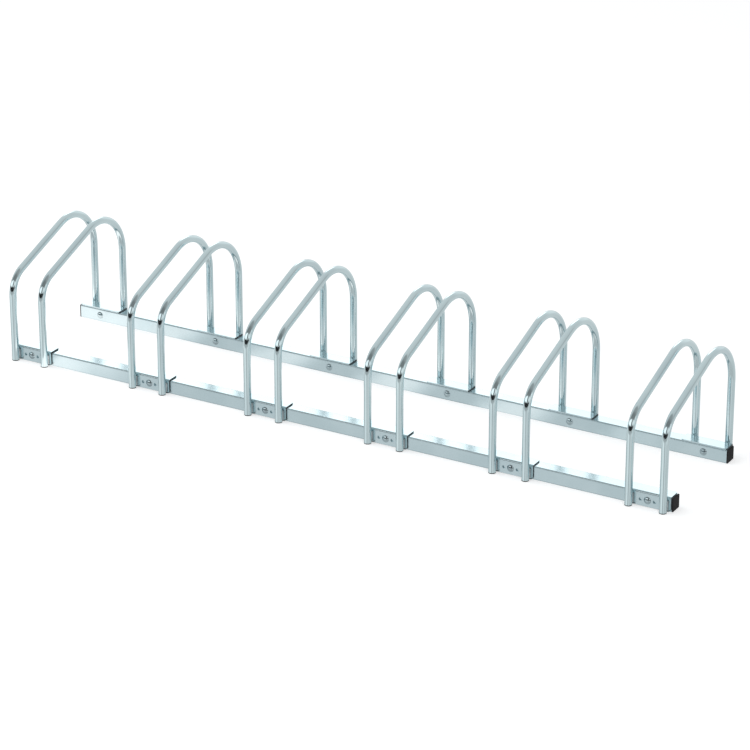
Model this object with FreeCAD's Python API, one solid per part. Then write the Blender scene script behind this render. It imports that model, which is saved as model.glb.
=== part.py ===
"""Floor bike rack, in millimetres.

Two square rails lie on the floor, side by side. A row of wheel holders stands across
them. A holder is a pair of bent tube hoops, welded at the front and at the rear to an
angle bracket, and each bracket is bolted through its rail. Black plugs close the rails
and the tube feet.

Frame: +X along the rails, +Y from the low front shoulder of the hoops towards their high
rear arch, +Z up. The origin is on the floor, in the middle of the rack.
"""
import FreeCAD, Part
import math
import os

V = FreeCAD.Vector

# ---- Driving dimensions ------------------------------------------------------------

# Rack
rack_length = 1600.0           # over the end caps
holder_count = 6
bracket_end_gap = 4.0          # from the end bracket of the row to the rack's end
end_pitch_extra = 15.0         # how much wider the first and the last pitch are

# Hoop, a bent round tube in one upright plane
tube_diameter = 16.0
tube_wall = 1.2
hoop_spacing = 76.0            # between the two hoops of a holder, axis to axis
leg_spread = 316.0             # from the front leg to the rear leg, axis to axis
shoulder_height = 190.0        # where the axes of the front leg and the sloping run meet
shoulder_radius = 55.0
slope_angle = 20.0             # rise of the sloping run, in degrees
arch_radius = 95.0

# Rail, a square tube
rail_size = 30.0
rail_wall = 1.5
rail_corner = 2.5

# Bracket, a bent plate that sits on the rail
bracket_length = 102.0
bracket_thickness = 3.0
bracket_bend = 1.0             # inside radius of its bend
bracket_corner = 5.0           # rounding of its four free corners
flange_setback = 0.5           # how far the top flange stops short of the rail's far side
plate_floor_gap = 1.0
spare_hole_diameter = 7.0
spare_hole_spacing = 31.0

# Coach bolt, washer and nut
bolt_diameter = 6.0
bolt_tip = 5.4                 # how far it stands out of the nut
head_diameter = 16.0
head_height = 3.6
neck_size = 6.0
neck_length = 4.5
square_hole_clearance = 0.4
round_hole_clearance = 0.8
washer_diameter = 18.0
washer_thickness = 1.6
nut_width = 10.0               # across the flats
nut_height = 6.0
nut_corner_chamfer = 0.8
bolt_point_chamfer = 0.8

# End cap of a rail
cap_plate = 3.0                # the part that shows
cap_edge = 1.0                 # chamfer round its face
cap_plug_length = 18.0
cap_plug_wall = 2.0
cap_plug_clearance = 0.25      # on each side, inside the rail
cap_rib_height = 0.2
cap_rib_width = 1.5
cap_rib_count = 3

# Foot plug of a leg
foot_flange = 2.0              # thickness of the part that meets the floor
foot_edge = 0.8                # rounding of its lower edge
foot_stem_length = 12.0
foot_stem_wall = 1.5
foot_stem_clearance = 0.15

# Weld bead beside a leg
weld_length = 22.0
weld_start_angle = 20.0        # on the tube, measured from the plate, in degrees
weld_end_angle = 56.0
weld_toe = 1.6                 # how far it spreads on the plate past the tube
weld_crown = 0.5               # how far it bulges

# ---- Sizes worked out from them ----------------------------------------------------

tube_radius = tube_diameter / 2
bore_radius = tube_radius - tube_wall
front_leg_y = -leg_spread / 2
rear_leg_y = leg_spread / 2
plate_face = leg_spread / 2 - tube_radius          # from the middle to a plate's outer face
rail_outer_side = plate_face - bracket_thickness   # from the middle to a rail's outer side
rail_middle_y = rail_outer_side - rail_size / 2
rail_middle_z = rail_size / 2
rail_length = rack_length - 2 * cap_plate
bracket_top = rail_size + bracket_thickness
bolt_length = rail_size + bracket_thickness + washer_thickness + nut_height + bolt_tip
square_hole_half = (neck_size + square_hole_clearance) / 2
round_hole_radius = (bolt_diameter + round_hole_clearance) / 2

least_corner = 0.2             # the sharpest rounding inside a rail
past = 1.0                     # how far a cutting tool runs past what it cuts
same = 1e-6                    # lengths closer than this are equal


def holder_places():
    """X of each holder, in a row that fills the rack and is symmetric about its middle."""
    pitch_count = holder_count - 1
    if pitch_count < 1:
        return [0.0]
    last = rack_length / 2 - bracket_end_gap - bracket_length / 2
    pitches = [(2 * last - 2 * end_pitch_extra) / pitch_count] * pitch_count
    pitches[0] += end_pitch_extra
    pitches[-1] += end_pitch_extra
    places = [-last]
    for pitch in pitches:
        places.append(places[-1] + pitch)
    return places


# ---- Helpers -----------------------------------------------------------------------

def box(x0, x1, y0, y1, z0, z1):
    return Part.makeBox(x1 - x0, y1 - y0, z1 - z0, V(x0, y0, z0))


def cylinder(radius, length, start, direction):
    return Part.makeCylinder(radius, length, start, direction)


def square_hole(x, y, z, depth):
    """The cutting tool for a bolt's square neck, from Y = y on, centred at x and z."""
    half = square_hole_half
    return box(x - half, x + half, y, y + depth, z - half, z + half)


def edges_along(shape, direction):
    """The straight edges of a shape that run along a direction."""
    found = []
    for edge in shape.Edges:
        if edge.Curve.TypeId != "Part::GeomLine":
            continue
        ends = edge.Vertexes[-1].Point - edge.Vertexes[0].Point
        if abs(abs(ends.normalize().dot(direction)) - 1) < same:
            found.append(edge)
    return found


def rounded_bar(length, size, corner):
    """A square bar along X, centred on its axis, with its four long edges rounded."""
    bar = box(-length / 2, length / 2, -size / 2, size / 2, -size / 2, size / 2)
    return bar.makeFillet(corner, edges_along(bar, V(1, 0, 0)))


def turned_to_rear(shape):
    """The same piece turned half a turn about the upright axis through the origin."""
    turned = shape.copy()
    turned.rotate(V(0, 0, 0), V(0, 0, 1), 180)
    return turned


def moved(shape, x=0.0, y=0.0, z=0.0):
    copy = shape.copy()
    copy.translate(V(x, y, z))
    return copy


def group(shapes):
    """Several separate solids that share one node."""
    return Part.makeCompound(shapes)


# ---- Rails -------------------------------------------------------------------------

def make_rail(middle_y):
    """A square tube with a square bolt hole in its front wall and a round one behind."""
    outside = rounded_bar(rail_length, rail_size, rail_corner)
    inside_corner = max(rail_corner - rail_wall, least_corner)
    inside = rounded_bar(rail_length + 2 * past, rail_size - 2 * rail_wall, inside_corner)
    rail = outside.cut(inside)
    front_wall = -rail_size / 2
    rear_wall = rail_size / 2 - rail_wall
    through_wall = rail_wall + 2 * past
    cutters = []
    for x in holder_places():
        cutters.append(square_hole(x, front_wall - past, 0, through_wall))
        cutters.append(cylinder(round_hole_radius, through_wall,
                                V(x, rear_wall - past, 0), V(0, 1, 0)))
    rail = rail.cut(group(cutters))
    return moved(rail, y=middle_y, z=rail_middle_z)


def make_end_cap():
    """The plug for the +X end of a rail that lies on the origin's axis."""
    end = rack_length / 2
    plate = rounded_bar(cap_plate, rail_size, rail_corner)
    plate.translate(V(end - cap_plate / 2, 0, 0))
    face_edges = [edge for edge in plate.Edges if edge.BoundBox.XMin > end - same]
    plate = plate.makeChamfer(cap_edge, face_edges)

    plug_size = rail_size - 2 * rail_wall - 2 * cap_plug_clearance
    plug_corner = max(rail_corner - rail_wall, least_corner)
    plug = rounded_bar(cap_plug_length, plug_size, plug_corner)
    hollow_size = plug_size - 2 * cap_plug_wall
    hollow = rounded_bar(cap_plug_length, hollow_size, plug_corner)
    plug = plug.cut(moved(hollow, x=-cap_plug_wall))
    plug_middle = end - cap_plate - cap_plug_length / 2
    cap = plate.fuse(moved(plug, x=plug_middle))

    rib_size = plug_size + 2 * cap_rib_height
    rib_step = cap_plug_length / (cap_rib_count + 1)
    for number in range(cap_rib_count):
        rib = rounded_bar(cap_rib_width, rib_size, plug_corner)
        core = rounded_bar(cap_rib_width, plug_size - cap_plug_wall, plug_corner)
        rib = rib.cut(core)
        cap = cap.fuse(moved(rib, x=end - cap_plate - rib_step * (number + 1)))
    return cap.removeSplitter()


def make_end_caps(middle_y):
    right = moved(make_end_cap(), y=middle_y, z=rail_middle_z)
    left = moved(turned_to_rear(make_end_cap()), y=middle_y, z=rail_middle_z)
    return left, right


# ---- Hoops -------------------------------------------------------------------------

def ring(centre, direction):
    """The tube's cross-section, as a face."""
    outside = Part.Face(Part.Wire([Part.makeCircle(tube_radius, centre, direction)]))
    bore = Part.Face(Part.Wire([Part.makeCircle(bore_radius, centre, direction)]))
    return outside.cut(bore)


def bent_tube(corners, radii):
    """A tube from the first corner point to the last, with a bend at each one between."""
    pieces = []
    start = corners[0]
    for index, radius in enumerate(radii):
        corner = corners[index + 1]
        back = (corners[index] - corner).normalize()
        ahead = (corners[index + 2] - corner).normalize()
        half_angle = back.getAngle(ahead) / 2
        enter = corner + back * (radius / math.tan(half_angle))
        leave = corner + ahead * (radius / math.tan(half_angle))
        centre = corner + (back + ahead).normalize() * (radius / math.sin(half_angle))
        turn = 180 - math.degrees(2 * half_angle)
        pieces.append(ring(start, back * -1).extrude(enter - start))
        bend_axis = ahead.cross(back * -1) * -1
        pieces.append(ring(enter, back * -1).revolve(centre, bend_axis, turn))
        start = leave
    last = corners[-1] - start
    pieces.append(ring(start, last).extrude(last))
    return pieces[0].fuse(pieces[1:]).removeSplitter()


def make_hoop():
    """One hoop in the plane X = 0: front leg, shoulder bend, sloping run, arch, rear leg."""
    peak_height = shoulder_height + leg_spread * math.tan(math.radians(slope_angle))
    corners = [V(0, front_leg_y, foot_flange), V(0, front_leg_y, shoulder_height),
               V(0, rear_leg_y, peak_height), V(0, rear_leg_y, foot_flange)]
    return bent_tube(corners, [shoulder_radius, arch_radius])


def hoop_places():
    """X of the left and the right hoop of each holder."""
    places = []
    for x in holder_places():
        places.append((x - hoop_spacing / 2, x + hoop_spacing / 2))
    return places


# ---- Brackets ----------------------------------------------------------------------

def bracket_section():
    """The bent profile of a front bracket, in the plane X = 0, as a face."""
    face_y = -plate_face
    wall_y = -rail_outer_side
    flange_end = wall_y + rail_size - flange_setback
    outer_bend = bracket_bend + bracket_thickness
    bend_y = face_y + outer_bend
    bend_z = bracket_top - outer_bend
    slant = math.sqrt(0.5)
    points = {
        "plate_foot_out": V(0, face_y, plate_floor_gap),
        "bend_out_low": V(0, face_y, bend_z),
        "bend_out_mid": V(0, bend_y - outer_bend * slant, bend_z + outer_bend * slant),
        "bend_out_high": V(0, bend_y, bracket_top),
        "flange_tip_top": V(0, flange_end, bracket_top),
        "flange_tip_low": V(0, flange_end, rail_size),
        "bend_in_high": V(0, bend_y, rail_size),
        "bend_in_mid": V(0, bend_y - bracket_bend * slant, bend_z + bracket_bend * slant),
        "bend_in_low": V(0, wall_y, bend_z),
        "plate_foot_in": V(0, wall_y, plate_floor_gap),
    }

    def line(a, b):
        return Part.LineSegment(points[a], points[b]).toShape()

    def arc(a, b, c):
        return Part.Arc(points[a], points[b], points[c]).toShape()

    return Part.Face(Part.Wire([
        line("plate_foot_out", "bend_out_low"),
        arc("bend_out_low", "bend_out_mid", "bend_out_high"),
        line("bend_out_high", "flange_tip_top"),
        line("flange_tip_top", "flange_tip_low"),
        line("flange_tip_low", "bend_in_high"),
        arc("bend_in_high", "bend_in_mid", "bend_in_low"),
        line("bend_in_low", "plate_foot_in"),
        line("plate_foot_in", "plate_foot_out"),
    ]))


def make_front_bracket():
    """A plate on the rail's outer side with a flange over its top, for the holder at X = 0."""
    profile = bracket_section()
    profile.translate(V(-bracket_length / 2, 0, 0))
    bracket = profile.extrude(V(bracket_length, 0, 0))

    corner_edges = edges_along(bracket, V(0, 1, 0)) + edges_along(bracket, V(0, 0, 1))
    free_corners = []
    for edge in corner_edges:
        if abs(edge.Length - bracket_thickness) < same:
            free_corners.append(edge)
    bracket = bracket.makeFillet(bracket_corner, free_corners)

    front = -plate_face - past
    through_plate = bracket_thickness + 2 * past
    cutters = [square_hole(0, front, rail_middle_z, through_plate)]
    for side in (-1, 1):
        start = V(side * spare_hole_spacing / 2, front, rail_middle_z)
        cutters.append(cylinder(spare_hole_diameter / 2, through_plate, start, V(0, 1, 0)))
    return bracket.cut(group(cutters))


# ---- Fasteners ---------------------------------------------------------------------

def make_bolt():
    """A coach bolt along +Y from the origin, its domed head on the -Y side."""
    rim_radius = head_diameter / 2
    dome_radius = (rim_radius ** 2 + head_height ** 2) / (2 * head_height)
    dome_centre = dome_radius - head_height
    head = Part.makeSphere(dome_radius, V(0, dome_centre, 0))
    reach = 2 * dome_radius
    head = head.common(box(-reach, reach, -reach, 0, -reach, reach))
    half_neck = neck_size / 2
    neck = box(-half_neck, half_neck, 0, neck_length, -half_neck, half_neck)
    shank = cylinder(bolt_diameter / 2, bolt_length, V(0, 0, 0), V(0, 1, 0))
    tip = [edge for edge in shank.Edges if edge.BoundBox.YMin > bolt_length - same]
    shank = shank.makeChamfer(bolt_point_chamfer, tip)
    return head.fuse([neck, shank]).removeSplitter()


def make_washer():
    """A washer on the shank, from Y = 0 to its thickness."""
    disc = cylinder(washer_diameter / 2, washer_thickness, V(0, 0, 0), V(0, 1, 0))
    through = washer_thickness + 2 * past
    hole = cylinder(round_hole_radius, through, V(0, -past, 0), V(0, 1, 0))
    return disc.cut(hole)


def make_nut():
    """A hexagon nut on the shank, from Y = 0 to its height, its corners chamfered."""
    corner_radius = nut_width / 2 / math.cos(math.radians(30))
    corners = []
    for number in range(7):
        angle = math.radians(60 * number)
        corners.append(V(corner_radius * math.cos(angle), 0, corner_radius * math.sin(angle)))
    nut = Part.Face(Part.makePolygon(corners)).extrude(V(0, nut_height, 0))
    outer_radius = corner_radius - nut_corner_chamfer
    cone = Part.makeCone(outer_radius + nut_height, outer_radius, nut_height,
                         V(0, 0, 0), V(0, 1, 0))
    nut = nut.common(cone)
    through = nut_height + 2 * past
    return nut.cut(cylinder(bolt_diameter / 2, through, V(0, -past, 0), V(0, 1, 0)))


def bolt_seats():
    """Per row: Y under the bolt head, and Y where the washer sits."""
    front = (-plate_face, -rail_outer_side + rail_size)
    rear = (rail_outer_side - rail_size, plate_face)
    return {"front": front, "rear": rear}


# ---- Foot plugs --------------------------------------------------------------------

def make_foot_plug():
    """The plug of a leg at the origin: a rounded flange on the floor and a hollow stem."""
    flange = cylinder(tube_radius, foot_flange, V(0, 0, 0), V(0, 0, 1))
    lower = [edge for edge in flange.Edges if edge.BoundBox.ZMax < same]
    flange = flange.makeFillet(foot_edge, lower)
    stem_radius = bore_radius - foot_stem_clearance
    top = V(0, 0, foot_flange)
    stem = cylinder(stem_radius, foot_stem_length, top, V(0, 0, 1))
    hollow_radius = stem_radius - foot_stem_wall
    hollow = cylinder(hollow_radius, foot_stem_length + past, top, V(0, 0, 1))
    return flange.fuse(stem.cut(hollow)).removeSplitter()


# ---- Weld beads --------------------------------------------------------------------

def make_weld_bead(side):
    """The bead on one side of a front leg at X = 0: it fills the notch at the plate."""
    leg = V(0, front_leg_y, 0)

    def on_tube(angle):
        turn = math.radians(angle)
        return leg + V(side * tube_radius * math.sin(turn), tube_radius * math.cos(turn), 0)

    root = on_tube(weld_start_angle)
    crest = on_tube(weld_end_angle)
    between = on_tube((weld_start_angle + weld_end_angle) / 2)
    plate_y = -plate_face
    plate_root = V(root.x, plate_y, 0)
    plate_toe = V(crest.x + side * weld_toe, plate_y, 0)
    chord = (plate_toe - crest).normalize()
    outward = V(-chord.y, chord.x, 0) * side
    bulge = (crest + plate_toe) * 0.5 + outward * weld_crown
    outline = Part.Wire([
        Part.LineSegment(plate_root, plate_toe).toShape(),
        Part.Arc(plate_toe, bulge, crest).toShape(),
        Part.Arc(crest, between, root).toShape(),
        Part.LineSegment(root, plate_root).toShape(),
    ])
    bead = Part.Face(outline).extrude(V(0, 0, weld_length))
    return moved(bead, z=rail_middle_z - weld_length / 2)


# ---- The rack ----------------------------------------------------------------------

def make_rack():
    nodes = {}
    nodes["front_rail"] = make_rail(-rail_middle_y)
    nodes["rear_rail"] = make_rail(rail_middle_y)
    for row, middle_y in (("front", -rail_middle_y), ("rear", rail_middle_y)):
        left, right = make_end_caps(middle_y)
        nodes[f"{row}_rail_left_cap"] = left
        nodes[f"{row}_rail_right_cap"] = right

    hoop = make_hoop()
    front_bracket = make_front_bracket()
    rear_bracket = turned_to_rear(front_bracket)
    for number, x in enumerate(holder_places(), start=1):
        nodes[f"holder_{number}_left_hoop"] = moved(hoop, x=x - hoop_spacing / 2)
        nodes[f"holder_{number}_right_hoop"] = moved(hoop, x=x + hoop_spacing / 2)
        nodes[f"holder_{number}_front_bracket"] = moved(front_bracket, x=x)
        nodes[f"holder_{number}_rear_bracket"] = moved(rear_bracket, x=x)

    for row, (head_y, washer_y) in bolt_seats().items():
        nut_y = washer_y + washer_thickness
        bolts = []
        washers = []
        nuts = []
        for x in holder_places():
            bolts.append(moved(make_bolt(), x=x, y=head_y, z=rail_middle_z))
            washers.append(moved(make_washer(), x=x, y=washer_y, z=rail_middle_z))
            nuts.append(moved(make_nut(), x=x, y=nut_y, z=rail_middle_z))
        nodes[f"{row}_coach_bolts"] = group(bolts)
        nodes[f"{row}_washers"] = group(washers)
        nodes[f"{row}_nuts"] = group(nuts)

    for row, leg_y in (("front", front_leg_y), ("rear", rear_leg_y)):
        plugs = []
        beads = []
        for pair in hoop_places():
            for x in pair:
                plugs.append(moved(make_foot_plug(), x=x, y=leg_y))
                for side in (-1, 1):
                    bead = make_weld_bead(side)
                    if row == "rear":
                        bead = turned_to_rear(bead)
                    beads.append(moved(bead, x=x))
        nodes[f"{row}_foot_plugs"] = group(plugs)
        nodes[f"{row}_weld_beads"] = group(beads)
    return nodes


def main():
    os.makedirs("parts", exist_ok=True)
    for name, shape in make_rack().items():
        box_ = shape.BoundBox
        print(f"{name:26s} solids {len(shape.Solids):3d} valid {shape.isValid()} "
              f"volume {shape.Volume:10.0f} "
              f"x {box_.XMin:8.2f} {box_.XMax:8.2f} y {box_.YMin:8.2f} {box_.YMax:8.2f} "
              f"z {box_.ZMin:7.2f} {box_.ZMax:7.2f}")
        shape.exportStep(f"parts/{name}.step")


main()
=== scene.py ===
# %% [markdown]
# # A floor bike rack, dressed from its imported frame
#
# The rack is two square rails on the floor with six pairs of bent tube hoops across
# them, all in bright zinc, with black plugs in the open ends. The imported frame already
# holds every solid at its real place. This lesson gives each finish its look, and makes
# again the few pieces whose small forms a plain solid leaves out.
#
# Everything is in metres. +X runs along the rails, +Y from the low shoulder of the hoops
# to their high arch, +Z up. The origin is on the floor, in the middle of the rack.

import math

import bmesh
import bpy
from mathutils import Matrix, Vector


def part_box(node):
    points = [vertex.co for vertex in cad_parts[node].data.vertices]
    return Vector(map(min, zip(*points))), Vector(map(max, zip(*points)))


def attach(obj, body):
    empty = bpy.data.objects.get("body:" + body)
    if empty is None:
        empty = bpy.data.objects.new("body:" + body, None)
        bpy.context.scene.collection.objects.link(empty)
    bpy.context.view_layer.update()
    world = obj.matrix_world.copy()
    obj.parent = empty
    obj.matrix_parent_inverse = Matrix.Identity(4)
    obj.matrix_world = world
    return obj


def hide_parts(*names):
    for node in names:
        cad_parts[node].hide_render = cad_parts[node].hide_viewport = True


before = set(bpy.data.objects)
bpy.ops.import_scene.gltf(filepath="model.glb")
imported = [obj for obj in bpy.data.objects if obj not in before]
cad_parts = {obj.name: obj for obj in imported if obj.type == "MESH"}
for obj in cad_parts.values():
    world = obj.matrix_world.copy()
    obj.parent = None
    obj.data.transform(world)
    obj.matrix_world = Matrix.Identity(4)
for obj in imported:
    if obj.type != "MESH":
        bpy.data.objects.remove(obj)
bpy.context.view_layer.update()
ROOT = "root"
HOLDERS = sum(1 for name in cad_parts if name.endswith("_front_bracket"))
print("nodes in the frame:", len(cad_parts), "holders:", HOLDERS)

# %% [markdown]
# ## The camera
#
# The camera stands to the right of the rack and above it, and looks along the rails
# from seven metres away with a long lens. A long lens keeps the far hoops almost as
# large as the near ones, as in the photograph. A short lens from close by would show
# the same outline at one hoop only. The place is given as an angle round the object, an
# angle above the floor and a distance from a point that the picture is centred on.

# %% Camera
CAMERA_AZIMUTH = math.radians(29.68)
CAMERA_ELEVATION = math.radians(23.38)
CAMERA_DISTANCE = 7.0
CAMERA_TARGET = Vector((0.0595, -0.0420, 0.1000))
CAMERA_LENS = 160.05           # in millimetres, as the sensor
CAMERA_SENSOR = 36.0
NEAREST, FARTHEST = 0.1, 60.0  # what the camera can see

camera_data = bpy.data.cameras.new("camera")
camera_data.lens = CAMERA_LENS
camera_data.sensor_width = CAMERA_SENSOR
camera_data.clip_start = NEAREST
camera_data.clip_end = FARTHEST
camera = bpy.data.objects.new("camera", camera_data)
bpy.context.scene.collection.objects.link(camera)
away = Vector((math.sin(CAMERA_AZIMUTH) * math.cos(CAMERA_ELEVATION),
               -math.cos(CAMERA_AZIMUTH) * math.cos(CAMERA_ELEVATION),
               math.sin(CAMERA_ELEVATION)))
camera.location = CAMERA_TARGET + away * CAMERA_DISTANCE
camera.rotation_mode = "QUATERNION"
camera.rotation_quaternion = (-away).to_track_quat("-Z", "Y")
bpy.context.scene.camera = camera
bpy.context.scene.view_settings.view_transform = "Standard"
print("camera at", [round(value, 3) for value in camera.location])

# %% [markdown]
# ## Small helpers for node trees
#
# A material is a tree of nodes. Typing out every node and link makes long cells, so a
# few short helpers add a node with its values, join two sockets, and mix two values by
# a mask. They are used for each material below, for the floor and for the studio round
# the rack. A mix node has sockets for every kind of value under the same names, so its
# sockets are picked by number.

# %% Node helpers
MIX_MASK = 0
MIX_NUMBERS = (2, 3, 0)        # the base, the top and the result, as numbers
MIX_COLORS = (6, 7, 2)         # and as colours


def add_node(tree, kind, **values):
    """A new node. A value named after an input socket sets that socket, any other one
    sets an attribute of the node."""
    node = tree.nodes.new(kind)
    for name, value in values.items():
        if hasattr(node, name):
            setattr(node, name, value)
        else:
            node.inputs[name.replace("_", " ")].default_value = value
    return node


def join(tree, source, target):
    tree.links.new(source, target)


def feed(tree, value, socket):
    """Join the socket to the value where that is a socket too, or else set it."""
    if isinstance(value, bpy.types.NodeSocket):
        join(tree, value, socket)
    else:
        socket.default_value = value


def math_node(tree, operation, *values, clamp=False):
    """One sum. Each value is a socket or a plain number. A sum of three values needs all
    three, because a socket that is left alone isn't 0."""
    node = add_node(tree, "ShaderNodeMath", operation=operation, use_clamp=clamp)
    for value, socket in zip(values, node.inputs):
        feed(tree, value, socket)
    return node.outputs[0]


def ramp_between(tree, value, low, high):
    """A smooth step: 0 below low, 1 above high."""
    node = add_node(tree, "ShaderNodeMapRange", interpolation_type="SMOOTHSTEP")
    join(tree, value, node.inputs["Value"])
    node.inputs["From Min"].default_value = low
    node.inputs["From Max"].default_value = high
    return node.outputs["Result"]


def mixed(tree, mask, base, top, kind="FLOAT", sockets=MIX_NUMBERS):
    """base where the mask is 0, top where it is 1. Each is a socket or a plain value."""
    node = add_node(tree, "ShaderNodeMix", data_type=kind)
    base_socket, top_socket, result = sockets
    feed(tree, mask, node.inputs[MIX_MASK])
    feed(tree, base, node.inputs[base_socket])
    feed(tree, top, node.inputs[top_socket])
    return node.outputs[result]


def mixed_color(tree, mask, base, top):
    return mixed(tree, mask, base, top, "RGBA", MIX_COLORS)


def new_material(name):
    """A material and its empty tree."""
    material = bpy.data.materials.new(name)
    material.use_nodes = True
    material.node_tree.nodes.clear()
    return material, material.node_tree


def close_tree(tree, kind, shader):
    """Join the last shader to an output node of this kind."""
    join(tree, shader.outputs[0], add_node(tree, kind).inputs["Surface"])


# %% [markdown]
# ## The studio
#
# Bright metal has hardly any colour of its own: it shows the room. So the room matters
# more than the lamps. A photographer hangs long strips of light beside the rack and sets
# up white cards, and leaves dark gaps between them. Each one becomes a band along the
# tubes. Here a strip is a slice of sky parallel to the rails, between two angles that are
# turned up from the front horizon about the X axis. A pane is a strip cut off between two
# azimuths. A card is a round patch of sky, with a direction and a half-angle. Only
# mirror-like rays see them. The camera sees plain white, and dull surfaces get one even
# soft light. Real lights and cards round the rack would work too, but they would stand in
# the way of other views.

# %% Sky strips, panes and cards
WHITE = (1.0, 1.0, 1.0, 1.0)
LEAST_CARD = 1.0         # the sharpest middle of a card, in degrees


def sky_direction(azimuth, elevation):
    """Azimuth 0 is straight in front of the rack, 90 is to its right. Both in degrees."""
    turn, rise = math.radians(azimuth), math.radians(elevation)
    return (math.sin(turn) * math.cos(rise), -math.cos(turn) * math.cos(rise),
            math.sin(rise))


def angle_from_front(tree, direction, toward):
    """The angle from straight in front, turned up (toward Z) or to the right (toward X)."""
    parts = add_node(tree, "ShaderNodeSeparateXYZ")
    join(tree, direction, parts.inputs[0])
    forward = math_node(tree, "MULTIPLY", parts.outputs["Y"], -1.0)
    return math_node(tree, "ARCTAN2", parts.outputs[toward], forward)


def strip_mask(tree, turned, low, high, softness):
    """1 between two angles, 0 outside, with soft rims."""
    low, high, soft = (math.radians(value) for value in (low, high, softness))
    return math_node(tree, "MULTIPLY", ramp_between(tree, turned, low - soft, low + soft),
                     ramp_between(tree, turned, high + soft, high - soft))


def card_mask(tree, direction, azimuth, elevation, half_angle, softness):
    """1 inside a round patch of sky, 0 outside, with a soft rim."""
    closeness = add_node(tree, "ShaderNodeVectorMath", operation="DOT_PRODUCT")
    join(tree, direction, closeness.inputs[0])
    closeness.inputs[1].default_value = sky_direction(azimuth, elevation)
    outer = math.cos(math.radians(half_angle + softness))
    inner = math.cos(math.radians(max(half_angle - softness, LEAST_CARD)))
    return ramp_between(tree, closeness.outputs["Value"], outer, inner)


ROOM_LIGHT = 0.60        # the even grey that most of the metal shows
SOFT_LIGHT = 0.53        # what dull surfaces get
# name, from angle, to angle, softness, light
STRIPS = (("dim ceiling", -10, 93, 6, 0.34),
          ("dimmer ceiling, front", -10, 68, 9, 0.22),
          ("dark gap below the window", -10, 15, 1.5, 0.02))
# name, from angle, to angle, from azimuth, to azimuth, softness, light
PANES = (("window, left pane", 16, 41, -85, -2, 2, 1.15),
         ("window, right pane", 16, 41, 24, 75, 3, 0.80),
         ("window bar", 16, 41, 0, 22, 2, 0.05))
# name, azimuth, elevation, half-angle, softness, light
CARDS = (("pale wall behind", -141, 10, 59, 20, 0.66),
         ("white card behind", -150, 24, 13, 6, 1.90),
         ("dark stand, right", 54, 5, 9, 2, 0.08),
         ("low wall behind", 182, 2, 22, 15, 0.81),
         ("grey wall, right", 112, 30, 16, 8, 0.45),
         ("white card, right", 80, 12, 13, 3, 0.90),
         ("white post, right", 104, 0, 5, 2, 1.20))

world = bpy.data.worlds.new("studio")
bpy.context.scene.world = world
world.use_nodes = True
world.cycles.sampling_method = "NONE"      # mirror-like rays find the cards by themselves
sky = world.node_tree
sky.nodes.clear()
direction = add_node(sky, "ShaderNodeTexCoord").outputs["Generated"]
room = ROOM_LIGHT
turned_up = angle_from_front(sky, direction, "Z")
turned_right = angle_from_front(sky, direction, "X")
for strip_name, low, high, softness, light in STRIPS:
    room = mixed(sky, strip_mask(sky, turned_up, low, high, softness), room, light)
for pane_name, low, high, left, right, softness, light in PANES:
    mask = math_node(sky, "MULTIPLY", strip_mask(sky, turned_up, low, high, softness),
                     strip_mask(sky, turned_right, left, right, softness))
    room = mixed(sky, mask, room, light)
for card_name, azimuth, elevation, half_angle, softness, light in CARDS:
    mask = card_mask(sky, direction, azimuth, elevation, half_angle, softness)
    room = mixed(sky, mask, room, light)
rays = add_node(sky, "ShaderNodeLightPath")
sky_light = mixed(sky, rays.outputs["Is Glossy Ray"], SOFT_LIGHT, room)
sky_light = mixed(sky, rays.outputs["Is Camera Ray"], sky_light, 1.0)
background = add_node(sky, "ShaderNodeBackground", Color=WHITE)
join(sky, sky_light, background.inputs["Strength"])
close_tree(sky, "ShaderNodeOutputWorld", background)
print("lights and darks:", [item[0] for item in (*STRIPS, *PANES, *CARDS)])

# %% [markdown]
# ## The floor
#
# The floor is pale and plain. The camera sees it lit, with the soft shadow of the rack,
# and with some white added so that it runs into the background. Mirror-like rays see a
# satin white board with an even light: a lit floor would show its dark contact shadows
# in every leg. The gloss of the board brings the cards into the upright legs as soft
# vertical bands. The board ends a good way in front of the rack, and the dark room
# behind its edge makes the black spot at the foot of each bend. Two narrow pools of light
# are painted on the board before the left ends of the rails, and turn them from grey to
# nearly white there. A painted patch of light on the board in each gap between the
# holders shows in the rear rail.

# %% Floor
FLOOR_SIZE = 30.0
FLOOR_COLOR = (0.80, 0.81, 0.82, 1.0)
FLOOR_LIFT = 0.50                      # white added for the camera
BOARD_LIGHT = 0.65                     # what mirror-like rays see of it
BOARD_GLOSS, BOARD_DULLNESS = 0.35, 0.05
BOARD_EDGE = -4.0                      # its front edge, in Y
EDGE_SOFTNESS = 0.8
FRONT_LANE, REAR_LANE = -0.180, 0.087  # the floor before each rail, in Y
LANE_EDGE, LANE_MIDDLE = 0.048, 0.030  # and its reach to both sides
LANE_FROM, LANE_TO = -0.45, -0.74      # painted pools of light lie there, brighter to the left
FRONT_END = -0.70                      # the front one ends where the first holder starts
FRONT_SOFTNESS = 0.03
PAINTED_POOL_GAIN = 1.7
GAP_PITCH = 0.292                      # from one gap between the holders to the next
GAP_EDGE, GAP_MIDDLE = 0.11, 0.02      # the painted patch of light in each gap
PAINTED_GAP_GAIN = 1.15
LAST_GAP = 2.5 * GAP_PITCH             # the painted patches fade out towards it, to the right
PAINTED_LIGHT_TINT = (1.0, 0.91, 0.88, 1.0)     # the painted pools and patches of light are a little warm


def as_mesh(name, bm):
    """Write a bmesh to a new mesh, and free it."""
    mesh = bpy.data.meshes.new(name)
    bm.to_mesh(mesh)
    bm.free()
    return mesh


floor_bm = bmesh.new()
bmesh.ops.create_grid(floor_bm, x_segments=1, y_segments=1, size=FLOOR_SIZE / 2)
floor_mesh = as_mesh("floor", floor_bm)
floor = bpy.data.objects.new("floor", floor_mesh)
bpy.context.scene.collection.objects.link(floor)

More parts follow.
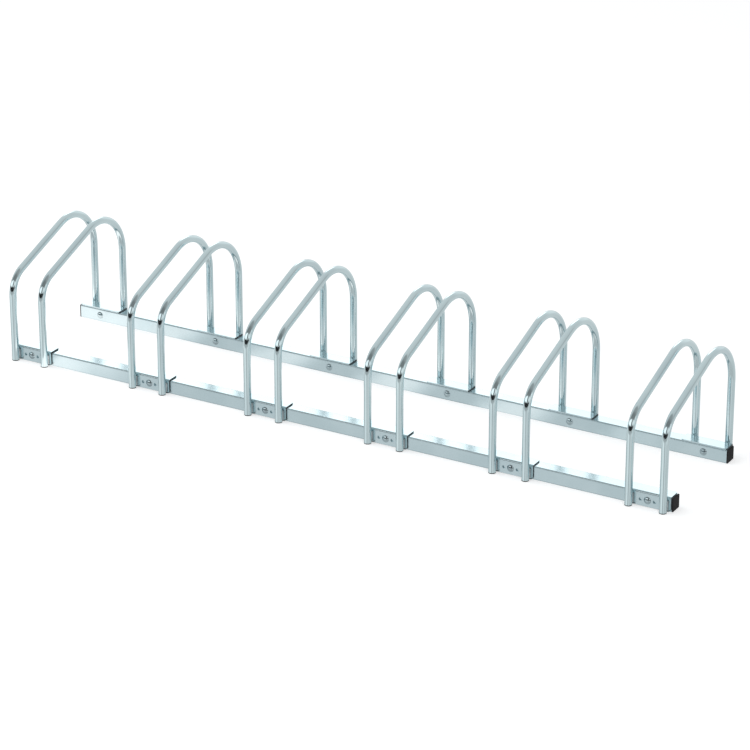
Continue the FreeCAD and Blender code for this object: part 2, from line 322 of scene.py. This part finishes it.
floor_material, tree = new_material("pale floor")
rays = add_node(tree, "ShaderNodeLightPath")
matt = add_node(tree, "ShaderNodeBsdfDiffuse", Color=FLOOR_COLOR)
white = add_node(tree, "ShaderNodeEmission")
seen = math_node(tree, "MAXIMUM", rays.outputs["Is Camera Ray"],
                 rays.outputs["Is Transmission Ray"])
join(tree, math_node(tree, "MULTIPLY", seen, FLOOR_LIFT), white.inputs["Strength"])
lit_floor = add_node(tree, "ShaderNodeAddShader")
join(tree, matt.outputs[0], lit_floor.inputs[0])
join(tree, white.outputs[0], lit_floor.inputs[1])
board_glow = add_node(tree, "ShaderNodeEmission")
spot = add_node(tree, "ShaderNodeSeparateXYZ")
join(tree, add_node(tree, "ShaderNodeTexCoord").outputs["Object"], spot.inputs[0])
painted_pool_fade = ramp_between(tree, spot.outputs["X"], LANE_FROM, LANE_TO)
on_board = ramp_between(tree, spot.outputs["Y"], BOARD_EDGE - EDGE_SOFTNESS,
                        BOARD_EDGE + EDGE_SOFTNESS)
glow = math_node(tree, "MULTIPLY", on_board, BOARD_LIGHT)


def painted_pool_mask(middle, along):
    """1 on the strip of floor before one rail where a pool of light is painted, wherever the
    mask along X is 1.
    """
    from_lane = math_node(tree, "ABSOLUTE",
                          math_node(tree, "SUBTRACT", spot.outputs["Y"], middle))
    return math_node(tree, "MULTIPLY", along,
                     ramp_between(tree, from_lane, LANE_EDGE, LANE_MIDDLE))


# Painted pools of light on the board, seen by mirror-like rays only: a patch in each gap
# between the holders before the rear rail, and a warm strip before the left end of each rail.
from_gap = math_node(tree, "PINGPONG", spot.outputs["X"], GAP_PITCH / 2)
painted_gap_patches = math_node(tree, "MULTIPLY", ramp_between(tree, from_gap, GAP_EDGE, GAP_MIDDLE),
                   ramp_between(tree, spot.outputs["X"], LAST_GAP, GAP_PITCH))
past_front_end = ramp_between(tree, spot.outputs["X"], FRONT_END - FRONT_SOFTNESS, FRONT_END)
painted_front_pool = math_node(tree, "MULTIPLY", painted_pool_fade, past_front_end)
painted_light_warmth = 0.0
for middle, along, gain in ((REAR_LANE, painted_gap_patches, PAINTED_GAP_GAIN), (REAR_LANE, painted_pool_fade, PAINTED_POOL_GAIN),
                            (FRONT_LANE, painted_front_pool, PAINTED_POOL_GAIN)):
    in_painted_pool = painted_pool_mask(middle, along)
    glow = mixed(tree, in_painted_pool, glow, BOARD_LIGHT * (1 + gain))
    painted_light_warmth = math_node(tree, "MAXIMUM", in_painted_pool, painted_light_warmth)
join(tree, glow, board_glow.inputs["Strength"])
join(tree, mixed_color(tree, painted_light_warmth, WHITE, PAINTED_LIGHT_TINT), board_glow.inputs["Color"])
board_gloss = add_node(tree, "ShaderNodeBsdfGlossy", Color=WHITE, Roughness=BOARD_DULLNESS)
board = add_node(tree, "ShaderNodeMixShader")
board.inputs[0].default_value = BOARD_GLOSS
join(tree, board_glow.outputs[0], board.inputs[1])
join(tree, board_gloss.outputs[0], board.inputs[2])
either = add_node(tree, "ShaderNodeMixShader")
join(tree, rays.outputs["Is Glossy Ray"], either.inputs[0])
join(tree, lit_floor.outputs[0], either.inputs[1])
join(tree, board.outputs[0], either.inputs[2])
close_tree(tree, "ShaderNodeOutputMaterial", either)
floor_material.cycles.emission_sampling = "NONE"     # it glows for mirror-like rays only
floor_mesh.materials.append(floor_material)

# %% [markdown]
# ## The lamps
#
# Two large soft lamps light the floor and the dull surfaces, and give the rack its soft
# shadow. The cards already make the highlights on the metal, so the lamps are hidden
# from mirror-like rays: a lamp that shows twice would double each highlight.

# %% Lamps
# name, place, what it aims at, size, power
LAMPS = (("left lamp", (-2.2, -1.0, 3.4), (0, 0, 0), 3.0, 42),
         ("right lamp", (2.6, -2.6, 2.6), (0, 0, 0.1), 2.0, 22))


def soft_lamp(name, place, aim, size, power):
    data = bpy.data.lights.new(name, "AREA")
    data.shape = "SQUARE"
    data.size = size
    data.energy = power
    lamp = bpy.data.objects.new(name, data)
    bpy.context.scene.collection.objects.link(lamp)
    lamp.location = place
    lamp.rotation_mode = "QUATERNION"
    lamp.rotation_quaternion = (Vector(aim) - Vector(place)).to_track_quat("-Z", "Y")
    lamp.visible_glossy = False


for lamp_values in LAMPS:
    soft_lamp(*lamp_values)
print("lamps:", [values[0] for values in LAMPS])

# %% [markdown]
# ## What zinc plating does to steel
#
# Bright zinc is a thin blue-white metal coat. It is nearly a mirror, but never an even
# one: the bath leaves faint clouds, the steel below keeps the fine lines of rolling and
# drawing, and handling leaves a few dull marks. Six materials here share that, so it is
# one node group. It gives out masks and a height only. The shader stays in each
# material, with its own colour and its own dullness.

# %% Zinc group
CLOUD_DETAIL, CLOUD_RIM = 4, (0.34, 0.68)     # a cloud fades in between these noise values
LINES_DETAIL, LINES_ROUGHNESS = 3, 0.6
MARK_SCALE, MARK_DETAIL, MARK_ROUGHNESS = 46.0, 6, 0.62
MARK_RIM = (0.60, 0.74)
MARK_SHARE, LINES_SHARE = 0.55, 0.45          # what each adds to the dullness
EVEN_SHARE = 0.5                              # and what all of the metal has


def group_tree(name, inputs, outputs):
    """An empty shader node group with named sockets, and its two end nodes."""
    group = bpy.data.node_groups.new(name, "ShaderNodeTree")
    for label, kind in inputs:
        group.interface.new_socket(label, in_out="INPUT", socket_type=kind)
    for label, kind in outputs:
        group.interface.new_socket(label, in_out="OUTPUT", socket_type=kind)
    return group, group.nodes.new("NodeGroupInput"), group.nodes.new("NodeGroupOutput")


def noise(tree, place, scale, detail, roughness=0.5):
    node = add_node(tree, "ShaderNodeTexNoise", Detail=detail, Roughness=roughness)
    join(tree, place, node.inputs["Vector"])
    feed(tree, scale, node.inputs["Scale"])
    return node.outputs["Fac"]


NUMBER = "NodeSocketFloat"
PLACE = "NodeSocketVector"
zinc_group, given, gives = group_tree(
    "zinc plating",
    [("Place", PLACE), ("Grain Place", PLACE), ("Cloud Scale", NUMBER),
     ("Dullness", NUMBER), ("Dullness Spread", NUMBER)],
    [("Cloud", NUMBER), ("Dullness", NUMBER), ("Height", NUMBER)])
cloud_noise = noise(zinc_group, given.outputs["Place"], given.outputs["Cloud Scale"],
                    CLOUD_DETAIL)
cloud = ramp_between(zinc_group, cloud_noise, *CLOUD_RIM)
lines = noise(zinc_group, given.outputs["Grain Place"], 1.0, LINES_DETAIL, LINES_ROUGHNESS)
mark_noise = noise(zinc_group, given.outputs["Place"], MARK_SCALE, MARK_DETAIL,
                   MARK_ROUGHNESS)
marks = ramp_between(zinc_group, mark_noise, *MARK_RIM)
uneven = math_node(zinc_group, "MULTIPLY_ADD", lines, LINES_SHARE, EVEN_SHARE)
uneven = math_node(zinc_group, "MULTIPLY_ADD", marks, MARK_SHARE, uneven)
dull = math_node(zinc_group, "MULTIPLY", uneven, given.outputs["Dullness Spread"])
dull = math_node(zinc_group, "ADD", dull, given.outputs["Dullness"], clamp=True)
join(zinc_group, cloud, gives.inputs["Cloud"])
join(zinc_group, dull, gives.inputs["Dullness"])
join(zinc_group, lines, gives.inputs["Height"])
print("group:", zinc_group.name)

# %% [markdown]
# ## The zinc materials
#
# Each finish reads the group with its own values. On the rails and the bracket plates
# the rolling lines run along X. On the bent tubes they follow the tube, so the tube
# material reads the hoop's own UV map. A bump height of a few microns is enough: more,
# and the mirror images on the flat faces break up.

# %% Zinc materials
ZINC_RELIEF = 0.35             # strength of the bump
CLOUD_SCALE = 9.0              # on the large pieces


def grained_surface(tree, color, finish, metallic, strength, distance):
    """End a tree with a shader that has the dullness and the relief of a finish group."""
    shader = add_node(tree, "ShaderNodeBsdfPrincipled", Metallic=metallic)
    join(tree, color, shader.inputs["Base Color"])
    join(tree, finish.outputs["Dullness"], shader.inputs["Roughness"])
    relief = add_node(tree, "ShaderNodeBump", Strength=strength, Distance=distance)
    join(tree, finish.outputs["Height"], relief.inputs["Height"])
    join(tree, relief.outputs[0], shader.inputs["Normal"])
    close_tree(tree, "ShaderNodeOutputMaterial", shader)


def zinc_material(name, light, dark, stretch, dull, spread, bump, along_tube=False,
                  cloud_scale=CLOUD_SCALE):
    material, tree = new_material(name)
    place = add_node(tree, "ShaderNodeTexCoord")
    grain = add_node(tree, "ShaderNodeMapping")
    grain.inputs["Scale"].default_value = stretch
    source = place.outputs["UV"] if along_tube else place.outputs["Object"]
    join(tree, source, grain.inputs["Vector"])
    plating = tree.nodes.new("ShaderNodeGroup")
    plating.node_tree = zinc_group
    join(tree, place.outputs["Object"], plating.inputs["Place"])
    join(tree, grain.outputs[0], plating.inputs["Grain Place"])
    plating.inputs["Cloud Scale"].default_value = cloud_scale
    plating.inputs["Dullness"].default_value = dull
    plating.inputs["Dullness Spread"].default_value = spread
    color = mixed_color(tree, plating.outputs["Cloud"], (*dark, 1.0), (*light, 1.0))
    grained_surface(tree, color, plating, 1.0, ZINC_RELIEF, bump)
    return material


ZINC_LIGHT = (0.74, 0.90, 0.93)
ZINC_DARK = (0.68, 0.83, 0.87)
# Rails and plates take a darker, bluer zinc than the tubes: partly their own plating, partly
# painted shade for the shaded floor close to the rails that their faces mirror.
FLAT_LIGHT_WITH_SHADE = (0.57, 0.70, 0.74)
FLAT_DARK_WITH_SHADE = (0.52, 0.65, 0.69)
BOLT_LIGHT = (0.58, 0.72, 0.76)
BOLT_DARK = (0.42, 0.52, 0.56)
WELD_LIGHT = (0.66, 0.72, 0.74)
WELD_DARK = (0.48, 0.53, 0.55)
SHEET_GRAIN = (3.0, 900.0, 900.0)
TUBE_GRAIN = (3.0, 900.0, 1.0)
BOLT_GRAIN = (300.0, 300.0, 300.0)
WELD_GRAIN = (900.0, 900.0, 900.0)

rail_zinc = zinc_material("rail zinc", FLAT_LIGHT_WITH_SHADE, FLAT_DARK_WITH_SHADE, SHEET_GRAIN,
                          dull=0.12, spread=0.10, bump=4e-6)
plate_zinc = zinc_material("plate zinc", FLAT_LIGHT_WITH_SHADE, FLAT_DARK_WITH_SHADE, SHEET_GRAIN,
                           dull=0.12, spread=0.12, bump=4e-6)
tube_zinc = zinc_material("tube zinc", ZINC_LIGHT, ZINC_DARK, TUBE_GRAIN,
                          dull=0.05, spread=0.07, bump=5e-6, along_tube=True)
bolt_zinc = zinc_material("bolt zinc", BOLT_LIGHT, BOLT_DARK, BOLT_GRAIN,
                          dull=0.07, spread=0.08, bump=5e-6, cloud_scale=60.0)
weld_zinc = zinc_material("weld zinc", WELD_LIGHT, WELD_DARK, WELD_GRAIN,
                          dull=0.30, spread=0.25, bump=4e-5, cloud_scale=90.0)
print("zinc materials:", [item.name for item in (rail_zinc, plate_zinc, tube_zinc,
                                                 bolt_zinc, weld_zinc)])

# %% [markdown]
# ## The black plastic
#
# The end caps and the foot plugs are moulded from black plastic. A mould is sparked or
# blasted, which leaves a fine even grain that keeps the plastic from shining. The grain
# is a noise a fraction of a millimetre wide, and wide soft patches vary the dullness
# where the plastic has been rubbed. Both parts share the grain, so it is a group too.

# %% Plastic group and materials
FINE_DETAIL = 2
RUBBED_SCALE, RUBBED_DETAIL, RUBBED_RIM = 70.0, 4, (0.38, 0.70)
FINE_SHARE, RUBBED_SHARE = 0.16, -0.14        # what each adds to the dullness
PLASTIC_DULLNESS = 1.0
PLASTIC_RELIEF, PLASTIC_BUMP = 0.5, 3e-5
CAP_LIGHT, CAP_DARK, CAP_GRAIN = (0.030, 0.030, 0.031), (0.019, 0.019, 0.020), 2600.0
FOOT_LIGHT, FOOT_DARK, FOOT_GRAIN = (0.034, 0.034, 0.034), (0.022, 0.022, 0.022), 3200.0

plastic_group, given, gives = group_tree(
    "moulded grain", [("Place", PLACE), ("Grain Scale", NUMBER)],
    [("Tone", NUMBER), ("Dullness", NUMBER), ("Height", NUMBER)])
fine = noise(plastic_group, given.outputs["Place"], given.outputs["Grain Scale"], FINE_DETAIL)
rubbed_noise = noise(plastic_group, given.outputs["Place"], RUBBED_SCALE, RUBBED_DETAIL)
rubbed = ramp_between(plastic_group, rubbed_noise, *RUBBED_RIM)
dull = math_node(plastic_group, "MULTIPLY_ADD", rubbed, RUBBED_SHARE, PLASTIC_DULLNESS)
dull = math_node(plastic_group, "MULTIPLY_ADD", fine, FINE_SHARE, dull, clamp=True)
join(plastic_group, rubbed, gives.inputs["Tone"])
join(plastic_group, dull, gives.inputs["Dullness"])
join(plastic_group, fine, gives.inputs["Height"])


def plastic_material(name, light, dark, grain_scale):
    material, tree = new_material(name)
    place = add_node(tree, "ShaderNodeTexCoord")
    grain = tree.nodes.new("ShaderNodeGroup")
    grain.node_tree = plastic_group
    join(tree, place.outputs["Object"], grain.inputs["Place"])
    grain.inputs["Grain Scale"].default_value = grain_scale
    color = mixed_color(tree, grain.outputs["Tone"], (*dark, 1.0), (*light, 1.0))
    grained_surface(tree, color, grain, 0.0, PLASTIC_RELIEF, PLASTIC_BUMP)
    return material


cap_black = plastic_material("cap black", CAP_LIGHT, CAP_DARK, CAP_GRAIN)
foot_black = plastic_material("foot black", FOOT_LIGHT, FOOT_DARK, FOOT_GRAIN)
print("plastics:", [item.name for item in (cap_black, foot_black)])

# %% [markdown]
# ## Finishes on the frame's own solids
#
# Rails, washers, nuts, caps and plugs already have the right shape, so they stay, and
# only their material slots change. The solids that new pieces replace further on take
# their finish too, so the whole rack can be looked at after this step. The end of a
# node's name says which finish it takes.

# %% Dress the frame
FINISHES = (("_rail", rail_zinc), ("_bracket", plate_zinc), ("_hoop", tube_zinc),
            ("_bolts", bolt_zinc), ("_washers", bolt_zinc), ("_nuts", bolt_zinc),
            ("_beads", weld_zinc), ("_cap", cap_black), ("_plugs", foot_black))
dressed = 0
for name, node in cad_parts.items():
    for ending, material in FINISHES:
        if name.endswith(ending):
            for slot in node.material_slots:
                slot.material = material
                dressed += 1
print("slots dressed:", dressed)

# %% [markdown]
# ## New pieces
#
# Each new piece is built in a bmesh, written to one mesh at the origin and given its
# finish. It rides on the rack's only body, and the solid that it stands for is hidden.

# %% Piece helper
SHARP = math.radians(35)       # a steeper edge than this isn't smoothed over


def finish_piece(name, bm, material, replaced):
    mesh = as_mesh(name, bm)
    mesh.shade_smooth()
    mesh.set_sharp_from_angle(angle=SHARP)
    mesh.materials.append(material)
    piece = bpy.data.objects.new(name, mesh)
    bpy.context.scene.collection.objects.link(piece)
    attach(piece, ROOT)
    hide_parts(replaced)
    return piece


def next_ring(bm, rim):
    """Extrude a ring of edges once. Gives the new ring's verts and its edges."""
    made = bmesh.ops.extrude_edge_only(bm, edges=rim)["geom"]
    verts = [item for item in made if isinstance(item, bmesh.types.BMVert)]
    ring = set(verts)
    edges = [item for item in made if isinstance(item, bmesh.types.BMEdge)
             and item.verts[0] in ring and item.verts[1] in ring]
    return verts, edges


# %% [markdown]
# ## The hoops
#
# A hoop is one round tube, bent twice on a tube bender. Bright zinc shows every facet,
# so it needs a smoother skin than a machining solid has. It is made as the tube itself
# is: start with its ring at the foot, draw the ring up the leg, turn it round the first
# bend, draw it along the sloping run, turn it round the arch and bring it down. Each
# step extrudes the ring once. The distance along the tube and the distance across it
# become the UV map, so that the drawing lines follow the bends. A curve with a round
# bevel would be quicker, but it gives no control of where the rings sit in the bends.

# %% Hoop sizes
TUBE_RADIUS = 0.008
TUBE_WALL = 0.0012
TUBE_SIDES = 40
LEG_Y = 0.158
SHOULDER_HEIGHT = 0.190
SLOPE = math.radians(20.0)
SHOULDER_RADIUS = 0.055
ARCH_RADIUS = 0.095
FOOT_TOP = 0.002
BEND_STEP = math.radians(4.0)
LEG_RINGS, RUN_RINGS = 3, 4    # rings on each straight part

shoulder_turn = math.pi / 2 - SLOPE
arch_turn = math.pi / 2 + SLOPE
shoulder_reach = SHOULDER_RADIUS * math.tan(shoulder_turn / 2)
arch_reach = ARCH_RADIUS * math.tan(arch_turn / 2)
peak_height = SHOULDER_HEIGHT + 2 * LEG_Y * math.tan(SLOPE)
run_length = 2 * LEG_Y / math.cos(SLOPE) - shoulder_reach - arch_reach
shoulder_centre = Vector((0, -LEG_Y + SHOULDER_RADIUS, SHOULDER_HEIGHT - shoulder_reach))
arch_centre = Vector((0, LEG_Y - ARCH_RADIUS, peak_height - arch_reach))
print("front leg", round(shoulder_centre.z, 4), "run", round(run_length, 4),
      "rear leg", round(arch_centre.z, 4))


# %% Hoop mesh
def tube_steps():
    """The moves of the ring, one by one: a matrix and the length that it adds."""
    steps = []

    def straight(vector, parts):
        for _ in range(parts):
            steps.append((Matrix.Translation(vector / parts), vector.length / parts))

    def bend(centre, turn, radius):
        parts = math.ceil(turn / BEND_STEP)
        turned = Matrix.Rotation(-turn / parts, 4, "X")
        move = Matrix.Translation(centre) @ turned @ Matrix.Translation(-centre)
        for _ in range(parts):
            steps.append((move, radius * turn / parts))

    up = Vector((0, 0, 1))
    along_run = Vector((0, math.cos(SLOPE), math.sin(SLOPE)))
    straight(up * (shoulder_centre.z - FOOT_TOP), LEG_RINGS)
    bend(shoulder_centre, shoulder_turn, SHOULDER_RADIUS)
    straight(along_run * run_length, RUN_RINGS)
    bend(arch_centre, arch_turn, ARCH_RADIUS)
    straight(up * (FOOT_TOP - arch_centre.z), LEG_RINGS)
    return steps


def hoop_mesh():
    bm = bmesh.new()
    length_layer = bm.verts.layers.float.new("length")
    foot = Matrix.Translation((0, -LEG_Y, FOOT_TOP))
    bmesh.ops.create_circle(bm, segments=TUBE_SIDES, radius=TUBE_RADIUS, matrix=foot)
    rim = bm.edges[:]
    length = 0.0
    for move, added in tube_steps():
        length += added
        ring, rim = next_ring(bm, rim)
        bmesh.ops.transform(bm, matrix=move, verts=ring)
        for vert in ring:
            vert[length_layer] = length
    return bm, length_layer


def wrap_uv(bm, length_layer):
    """U is the distance along the tube. V is the distance across it, seen from its side:
    the two halves share it, so no face crosses a seam."""
    uv = bm.loops.layers.uv.new("tube")
    for face in bm.faces:
        for loop in face.loops:
            loop[uv].uv = (loop.vert[length_layer], loop.vert.co.x)


def wall_thickness(bm):
    bmesh.ops.recalc_face_normals(bm, faces=bm.faces)
    bmesh.ops.solidify(bm, geom=bm.faces[:], thickness=TUBE_WALL)


hoop_bm, hoop_length = hoop_mesh()
wrap_uv(hoop_bm, hoop_length)
wall_thickness(hoop_bm)
hoop_template = as_mesh("hoop template", hoop_bm)
print("hoop faces:", len(hoop_template.polygons))


# %% Hoops in place
def middle_of(node_name):
    low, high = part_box(node_name)
    return (Vector(low) + Vector(high)) / 2


for number in range(1, HOLDERS + 1):
    for side in ("left", "right"):
        node_name = f"holder_{number}_{side}_hoop"
        bm = bmesh.new()
        bm.from_mesh(hoop_template)
        bmesh.ops.translate(bm, vec=(middle_of(node_name).x, 0, 0), verts=bm.verts)
        finish_piece(f"{node_name}_tube", bm, tube_zinc, node_name)
bpy.data.meshes.remove(hoop_template)
print("hoops:", 2 * HOLDERS)

# %% [markdown]
# ## The brackets
#
# The bracket is stamped from sheet and bent. Its broad faces carry the full plating. The
# sheared ends take less of it, and their dark material also paints in the shade of the
# narrow gap at each end: that is why the end of each flange reads as a dark line. A copy
# of the solid's mesh is merged, and each face is then sorted by where it is and where it
# points, so that the sheared ends get a second, darker material with painted shade.
# Painting the ends by a mask would blur at this size.

# %% Cut-edge finish
# Darker than thin plating alone: these colours also paint in the shade of the narrow gap at
# the sheet's ends and under its bottom rim.
CUT_SHADE_LIGHT = (0.20, 0.22, 0.23)
CUT_SHADE_DARK = (0.10, 0.11, 0.12)
CUT_GRAIN = (600.0, 600.0, 600.0)
cut_edge_shade_zinc = zinc_material("cut edge", CUT_SHADE_LIGHT, CUT_SHADE_DARK, CUT_GRAIN,
                         dull=0.42, spread=0.20, bump=4e-5, cloud_scale=80.0)
print("cut edges:", cut_edge_shade_zinc.name)

# %% Bracket copies
SHEET = 0.003
SAME_POINT = 1e-6
SAME_PLANE = math.radians(0.5)
FACES_END, FACES_DOWN = 0.5, -0.9      # a normal's least share along X, and along Z
EDGE_ROUNDING, ROUNDING_STEPS = 0.0003, 2


def merged_copy(node_name):
    bm = bmesh.new()
    bm.from_mesh(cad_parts[node_name].data)
    bmesh.ops.remove_doubles(bm, verts=bm.verts, dist=SAME_POINT)
    return bm


def is_cut_edge(face, low, high):
    """True for the ends of the sheet and for its bottom rim."""
    middle = face.calc_center_median()
    from_end = min(middle.x - low.x, high.x - middle.x)
    sheared_end = from_end < SHEET / 2 and abs(face.normal.x) > FACES_END
    bottom_rim = middle.z < low.z + SHEET / 2 and face.normal.z < FACES_DOWN
    return sheared_end or bottom_rim


cut_faces = 0
for number in range(1, HOLDERS + 1):
    for row in ("front", "rear"):
        node_name = f"holder_{number}_{row}_bracket"
        low, high = (Vector(corner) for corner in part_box(node_name))
        bm = merged_copy(node_name)
        for face in bm.faces:
            if is_cut_edge(face, low, high):
                face.material_index = 1
                cut_faces += 1
        bmesh.ops.dissolve_limit(bm, angle_limit=SAME_PLANE, verts=bm.verts, edges=bm.edges,
                                 delimit={"MATERIAL"})
        piece = finish_piece(f"{node_name}_sheet", bm, plate_zinc, node_name)
        piece.data.materials.append(cut_edge_shade_zinc)
        rounding = piece.modifiers.new("edge rounding", "BEVEL")
        rounding.width = EDGE_ROUNDING
        rounding.segments = ROUNDING_STEPS
        rounding.limit_method = "ANGLE"
        rounding.angle_limit = SHARP
        rounding.harden_normals = True
print("cut-edge faces:", cut_faces)

# %% [markdown]
# ## The coach bolts
#
# A coach bolt has a low round dome for a head, a square neck that keeps it from turning
# and a thread at its far end. The dome is an arc spun round the bolt's axis. The thread
# is a small triangle spun and moved on at each step, which winds it into a helix. The
# solids have a plain tip, because the thread is a fraction of a millimetre deep, but
# from behind the rack the tips show.

# %% Bolt sizes
HEAD_RADIUS = 0.008
HEAD_HEIGHT = 0.0036
NECK = 0.006
NECK_LENGTH = 0.0045
SHANK_RADIUS = 0.003
BOLT_LENGTH = 0.046
THREAD_PITCH = 0.001
THREAD_DEPTH = 0.00055
THREAD_TURNS = 14
THREAD_STEPS = 14              # for each turn
THREAD_HALF_WIDTH = 0.45 * THREAD_PITCH
THREAD_SINK = 0.00005          # how far its root lies inside the shank
THREAD_END = 0.0012            # from the last turn to the tip
TIP_CHAMFER = 0.0008
DOME_STEPS = 10
BOLT_SIDES = 32
SPIN_SEAM = 1e-7
AXIS = Vector((0, 1, 0))

dome_radius = (HEAD_RADIUS ** 2 + HEAD_HEIGHT ** 2) / (2 * HEAD_HEIGHT)
dome_centre = Vector((0, dome_radius - HEAD_HEIGHT, 0))
dome_angle = math.asin(HEAD_RADIUS / dome_radius)
print("dome radius", round(dome_radius, 5), "half-angle", round(math.degrees(dome_angle), 1))


# %% Bolt mesh
def draw_chain(bm, start, moves):
    """A chain of edges: the first point, then one more for each move of the last one."""
    last = bm.verts.new(start)
    for move in moves:
        made = bmesh.ops.extrude_vert_indiv(bm, verts=[last])["verts"]
        bmesh.ops.transform(bm, matrix=move, verts=made)
        last = made[0]


def turned_profile(moves, start):
    """A chain of edges, spun once round the bolt's axis."""
    bm = bmesh.new()
    draw_chain(bm, start, moves)
    bmesh.ops.spin(bm, geom=bm.verts[:] + bm.edges[:], cent=(0, 0, 0), axis=AXIS,
                   angle=2 * math.pi, steps=BOLT_SIDES, use_merge=True)
    bmesh.ops.remove_doubles(bm, verts=bm.verts, dist=SPIN_SEAM)
    bmesh.ops.recalc_face_normals(bm, faces=bm.faces)
    return bm


def shift(x=0.0, y=0.0, z=0.0):
    return Matrix.Translation((x, y, z))


def dome_and_shank():
    """The outline from the top of the dome to the middle of the tip, spun."""
    step = Matrix.Rotation(dome_angle / DOME_STEPS, 4, "Z")
    arc = shift(*dome_centre) @ step @ shift(*-dome_centre)
    core = SHANK_RADIUS - THREAD_DEPTH
    moves = [arc] * DOME_STEPS
    moves += [shift(x=-(HEAD_RADIUS - core)), shift(y=BOLT_LENGTH - TIP_CHAMFER),
              shift(x=-TIP_CHAMFER, y=TIP_CHAMFER), shift(x=-(core - TIP_CHAMFER))]
    return turned_profile(moves, (0, -HEAD_HEIGHT, 0))


def thread_helix():
    bm = bmesh.new()
    root = SHANK_RADIUS - THREAD_DEPTH - THREAD_SINK
    start_y = BOLT_LENGTH - THREAD_END - THREAD_TURNS * THREAD_PITCH
    corners = [bm.verts.new((root, start_y - THREAD_HALF_WIDTH, 0)),
               bm.verts.new((SHANK_RADIUS, start_y, 0)),
               bm.verts.new((root, start_y + THREAD_HALF_WIDTH, 0))]
    first = bm.faces.new(corners)
    bmesh.ops.spin(
        bm, geom=[first], cent=(0, 0, 0), axis=AXIS, dvec=AXIS * THREAD_PITCH / THREAD_STEPS,
        angle=2 * math.pi * THREAD_TURNS, steps=THREAD_TURNS * THREAD_STEPS)
    bmesh.ops.recalc_face_normals(bm, faces=bm.faces)
    return bm


def bolt_mesh():
    bm = dome_and_shank()
    neck = shift(y=NECK_LENGTH / 2) @ Matrix.Diagonal((NECK, NECK_LENGTH, NECK, 1))
    bmesh.ops.create_cube(bm, size=1.0, matrix=neck)
    helix = as_mesh("helix", thread_helix())
    bm.from_mesh(helix)
    bpy.data.meshes.remove(helix)
    return as_mesh("bolt template", bm)


bolt_template = bolt_mesh()
print("bolt faces:", len(bolt_template.polygons))


# %% Bolts in place
def copies_at(template, places):
    """One bmesh with a copy of a mesh at each place."""
    bm = bmesh.new()
    for place in places:
        first = len(bm.verts)
        bm.from_mesh(template)
        bm.verts.ensure_lookup_table()
        bmesh.ops.transform(bm, matrix=place, verts=bm.verts[first:])
    return bm


holder_x = [middle_of(f"holder_{number}_front_bracket").x for number in range(1, HOLDERS + 1)]
for row in ("front", "rear"):
    low, high = (Vector(corner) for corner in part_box(f"{row}_coach_bolts"))
    axis_z = (low.z + high.z) / 2
    under_head = low.y + HEAD_HEIGHT
    bm = copies_at(bolt_template, [shift(x, under_head, axis_z) for x in holder_x])
    finish_piece(f"{row}_threaded_bolts", bm, bolt_zinc,
                 f"{row}_coach_bolts")
bpy.data.meshes.remove(bolt_template)
print("bolts:", 2 * len(holder_x))

# %% [markdown]
# ## The weld beads
#
# Each leg is welded to its plate along both sides. A hand-laid bead is a row of small
# overlapping pools, each one frozen before the next. It is made like the hoops, from one
# ring drawn up in short steps. The ring swells fast and shrinks slowly once for each
# pool, and closes to a small cap at both ends. It sits half sunk in the notch between
# tube and plate, so only its outer half shows.

# %% Weld bead mesh
BEAD_LENGTH = 0.022
BEAD_RADIUS = 0.0027
BEAD_POOLS = 9
POOL_STEPS = 3                 # rings for each pool
BEAD_SIDES = 10
BEAD_STEPS = BEAD_POOLS * POOL_STEPS
BEAD_OUT = 0.0060              # from the leg's axis, along the plate
BEAD_OFF_PLATE = 0.0017
POOL_SHRINK = 0.14             # how much thinner a pool would be at its very end
END_TAPER = 0.45


def pool_size(step):
    """The ring's size at a step: swollen at the start of each pool, less at its end."""
    size = 1.0 - POOL_SHRINK * (step % POOL_STEPS) / POOL_STEPS
    return size * END_TAPER if step in (0, BEAD_STEPS) else size


def bead_mesh():
    bm = bmesh.new()
    bmesh.ops.create_circle(bm, cap_ends=True, segments=BEAD_SIDES,
                            radius=BEAD_RADIUS * pool_size(0))
    rim = bm.edges[:]
    for step in range(1, BEAD_STEPS + 1):
        ring, rim = next_ring(bm, rim)
        change = pool_size(step) / pool_size(step - 1)
        bmesh.ops.scale(bm, vec=(change, change, 1), verts=ring)
        bmesh.ops.translate(bm, vec=(0, 0, BEAD_LENGTH / BEAD_STEPS), verts=ring)
    bmesh.ops.holes_fill(bm, edges=rim, sides=BEAD_SIDES)
    bmesh.ops.recalc_face_normals(bm, faces=bm.faces)
    return as_mesh("bead template", bm)


bead_template = bead_mesh()
print("bead faces:", len(bead_template.polygons))

# %% Beads in place
hoop_x = [middle_of(f"holder_{number}_{side}_hoop").x
          for number in range(1, HOLDERS + 1) for side in ("left", "right")]
for row, facing in (("front", -1), ("rear", 1)):
    low, high = (Vector(corner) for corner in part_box(f"{row}_weld_beads"))
    plate_y = high.y if facing < 0 else low.y
    bead_y = plate_y + facing * BEAD_OFF_PLATE
    places = [shift(x + side * BEAD_OUT, bead_y, low.z) for x in hoop_x for side in (-1, 1)]
    bm = copies_at(bead_template, places)
    finish_piece(f"{row}_rippled_beads", bm, weld_zinc, f"{row}_weld_beads")
bpy.data.meshes.remove(bead_template)
print("beads:", 4 * len(hoop_x))
